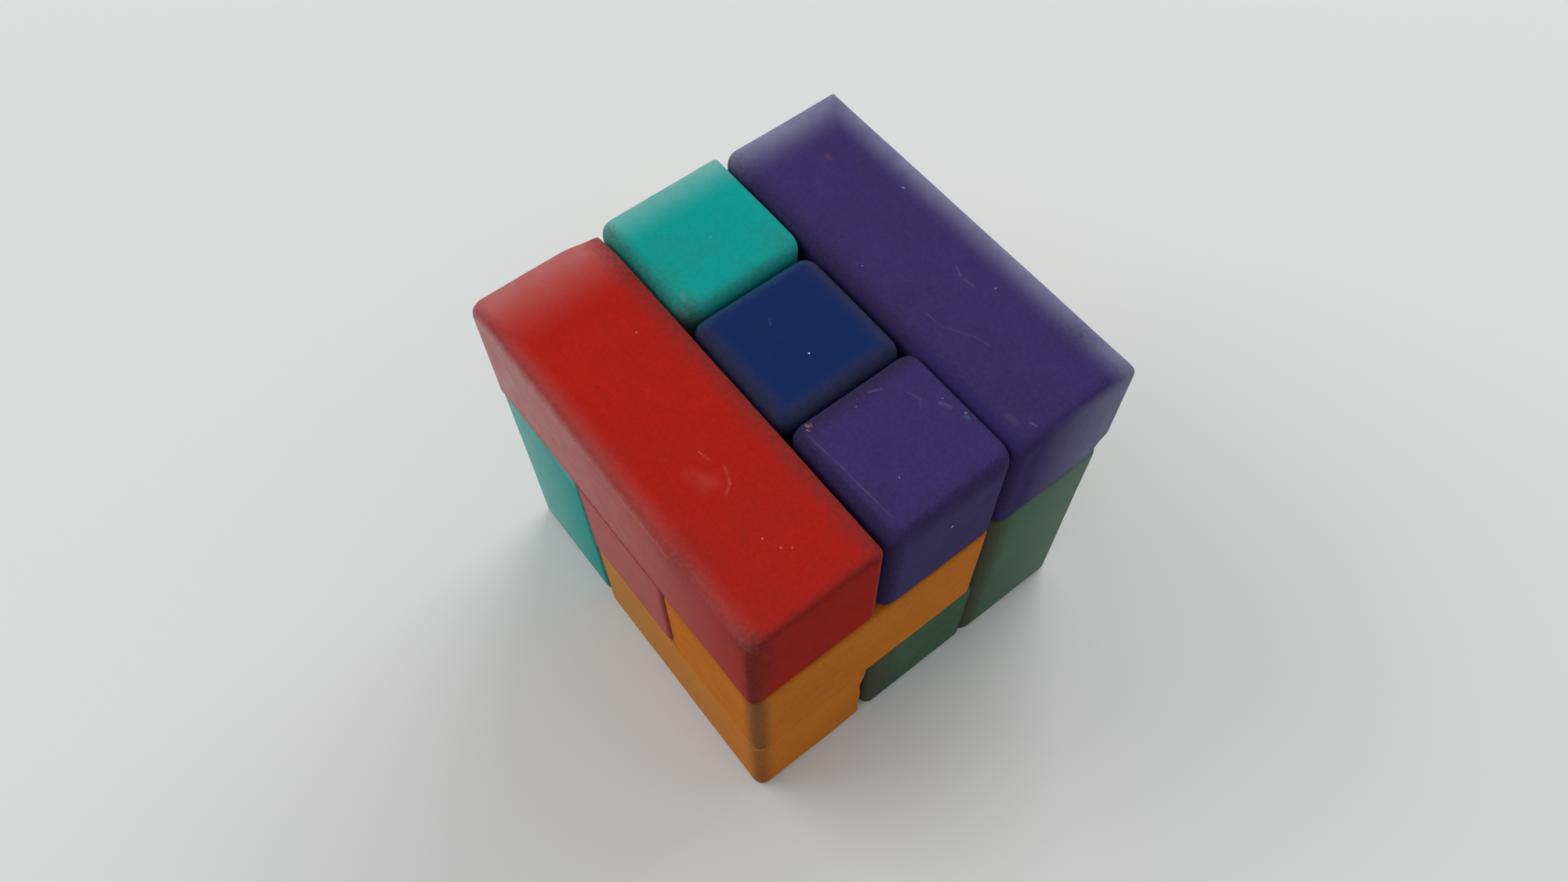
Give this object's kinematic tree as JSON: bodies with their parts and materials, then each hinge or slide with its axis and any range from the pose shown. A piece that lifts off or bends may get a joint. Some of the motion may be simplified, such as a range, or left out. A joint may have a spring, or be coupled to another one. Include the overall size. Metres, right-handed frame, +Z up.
{
  "type": "block cube puzzle",
  "caption": "Cube-shaped wooden puzzle of loose painted pieces, each glued up from square blocks with rounded edges, that nest together and lift apart by hand.",
  "frame": {"origin": "centre of the bottom face that the cube stands on", "axes": "+Z up; +X along the red bar, from its end above the teal piece to its end above the orange piece; +Y from the red bar's side towards the purple bar's side"},
  "size_m": [0.0758, 0.0758, 0.075],
  "materials": {
    "red_paint": "satin paint on wood, edges worn",
    "purple_paint": "satin paint on wood, edges worn",
    "teal_paint": "satin paint on wood, edges worn",
    "navy_paint": "satin paint on wood, edges worn",
    "orange_paint": "satin paint on wood, edges worn",
    "green_paint": "satin paint on wood, edges worn",
    "yellow_paint": "satin paint on wood, edges worn"
  },
  "bodies": {
    "green_piece": {"green_upright": "green_paint", "green_base_block": "green_paint"},
    "teal_piece": {"teal_lower_block": "teal_paint", "teal_upper_block": "teal_paint"},
    "yellow_piece": {"yellow_post": "yellow_paint", "yellow_side_cube": "yellow_paint", "yellow_back_cube": "yellow_paint"},
    "orange_piece": {"orange_base_block": "orange_paint", "orange_upper_block": "orange_paint"},
    "red_piece": {"red_bar": "red_paint", "red_stub": "red_paint"},
    "navy_piece": {"navy_post": "navy_paint", "navy_stub": "navy_paint"},
    "purple_piece": {"purple_bar": "purple_paint", "purple_cube": "purple_paint"}
  },
  "joints": [
    {"name": "teal_slide", "type": "slide", "parent": "green_piece", "child": "teal_piece", "axis": [-1, 0, 0], "range_m": [0, 0.045]},
    {"name": "yellow_slide", "type": "slide", "parent": "green_piece", "child": "yellow_piece", "axis": [-1, 0, 0], "range_m": [0, 0.065]},
    {"name": "orange_slide", "type": "slide", "parent": "green_piece", "child": "orange_piece", "axis": [1, 0, 0], "range_m": [0, 0.065]},
    {"name": "red_lift", "type": "slide", "parent": "green_piece", "child": "red_piece", "axis": [0, 0, 1], "range_m": [0, 0.065]},
    {"name": "navy_lift", "type": "slide", "parent": "green_piece", "child": "navy_piece", "axis": [0, 0, 1], "range_m": [0, 0.065]},
    {"name": "purple_lift", "type": "slide", "parent": "navy_piece", "child": "purple_piece", "axis": [0, 0, 1], "range_m": [0, 0.04]}
  ]
}
